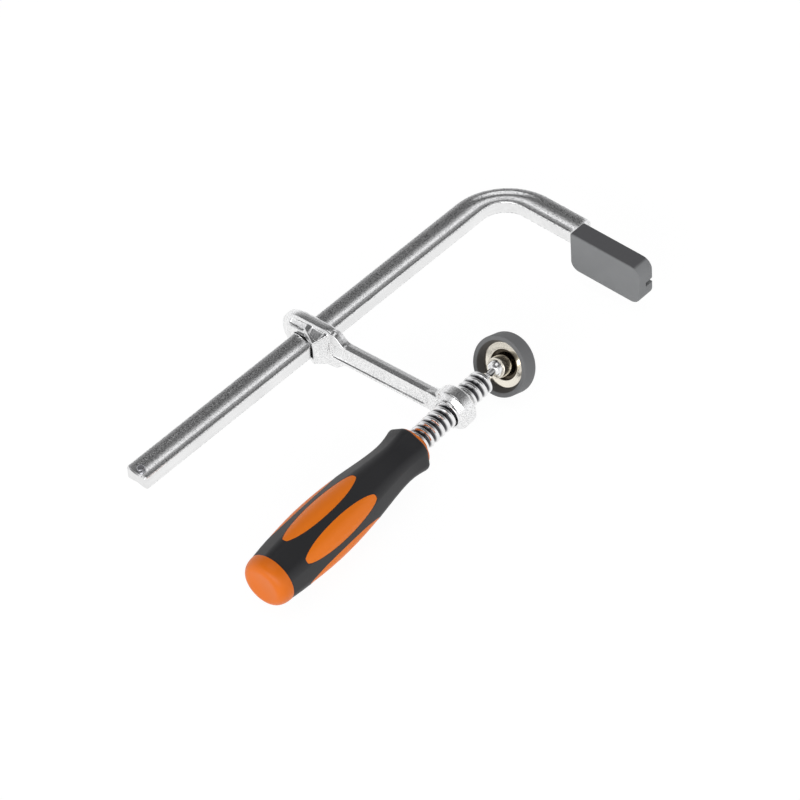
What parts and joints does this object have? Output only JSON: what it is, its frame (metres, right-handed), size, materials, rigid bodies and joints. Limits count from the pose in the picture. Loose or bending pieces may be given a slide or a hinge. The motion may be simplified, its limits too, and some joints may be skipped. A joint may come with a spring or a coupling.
{
  "type": "quick release bar clamp",
  "caption": "Steel screw bar clamp with a grooved L-shaped rail, a sliding arm, a black and orange screw handle, a ball-jointed round pad and grey rubber jaw caps.",
  "frame": {"origin": "centre of the fixed jaw's clamp face, on the outside of its rubber cap", "axes": "+X along the rail, away from its free end and out through the fixed jaw; +Y from the jaw's tip towards the rail; +Z square to the plane of rail and jaw, up as pictured, with the clamp lying on its side"},
  "size_m": [0.3418, 0.1525, 0.0414],
  "materials": {
    "rail_steel": "satin zinc plating over rolled bar",
    "arm_steel": "bright zinc plating over forged steel",
    "screw_steel": "bright plating over rolled thread",
    "nickel_plate": "warm nickel plating",
    "cap_rubber": "matt grey rubber",
    "handle_orange": "satin moulded plastic",
    "handle_black": "soft satin overmoulding"
  },
  "bodies": {
    "rail": {"rail": "rail_steel", "stop_stud": "rail_steel", "jaw_cap": "cap_rubber"},
    "sliding_arm": {"sliding_arm": "arm_steel"},
    "ball_seat": {"ball_seat": "screw_steel"},
    "spindle": {"spindle": "screw_steel", "handle_core": "handle_orange", "handle_grip": "handle_black"},
    "pressure_pad": {"pressure_plate": "nickel_plate", "pad_cap": "cap_rubber"}
  },
  "joints": [
    {"name": "arm_slide", "type": "slide", "parent": "rail", "child": "sliding_arm", "axis": [1, 0, 0], "range_m": [-0.133, 0.055]},
    {"name": "spindle_travel", "type": "slide", "parent": "sliding_arm", "child": "ball_seat", "axis": [0.9982, 0.0593, 0], "range_m": [-0.02501, 0.02751]},
    {"name": "spindle_turn", "type": "hinge", "parent": "ball_seat", "child": "spindle", "pos_m": [-0.10351, -0.00458, 0], "axis": [0.9982, 0.0593, 0], "range_deg": [-1800, 1980]},
    {"name": "pad_tilt", "type": "hinge", "parent": "ball_seat", "child": "pressure_pad", "pos_m": [-0.10351, -0.00458, 0], "axis": [-0.0593, 0.9982, 0], "range_deg": [-48, 2]}
  ],
  "couplings": [
    {"joint": "spindle_travel", "follows": "spindle_turn", "m_per_rad": 0.00079577}
  ]
}
